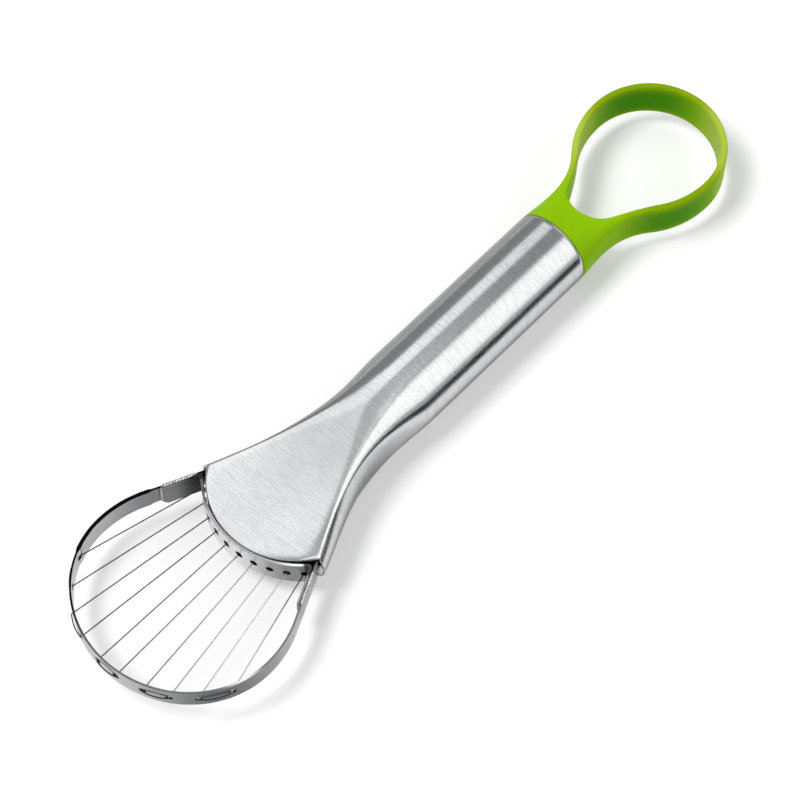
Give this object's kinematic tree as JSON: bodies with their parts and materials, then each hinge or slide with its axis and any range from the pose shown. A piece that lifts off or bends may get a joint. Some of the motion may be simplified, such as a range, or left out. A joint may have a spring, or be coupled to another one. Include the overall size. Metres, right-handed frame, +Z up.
{
  "type": "avocado slicer",
  "caption": "Hand avocado slicer: flared brushed steel tube handle, oval steel loop strung with straight cutting wires, and a lime green hanging ring.",
  "frame": {"origin": "on the table, under the middle of the tool's length and width", "axes": "+X along the tool from the cutting loop to the ring, +Z up, +Y to the left when looking along +X"},
  "size_m": [0.2409, 0.062, 0.0236],
  "materials": {
    "steel_handle": "brushed",
    "steel_strip": "satin",
    "steel_wire": "drawn wire",
    "green_plastic": "satin moulded"
  },
  "bodies": {
    "root": {"handle_shell": "steel_handle", "cutting_loop": "steel_strip", "wire_comb": "steel_strip", "cutting_wire_1": "steel_wire", "cutting_wire_2": "steel_wire", "cutting_wire_3": "steel_wire", "cutting_wire_4": "steel_wire", "cutting_wire_5": "steel_wire", "end_ring": "green_plastic"}
  },
  "joints": []
}
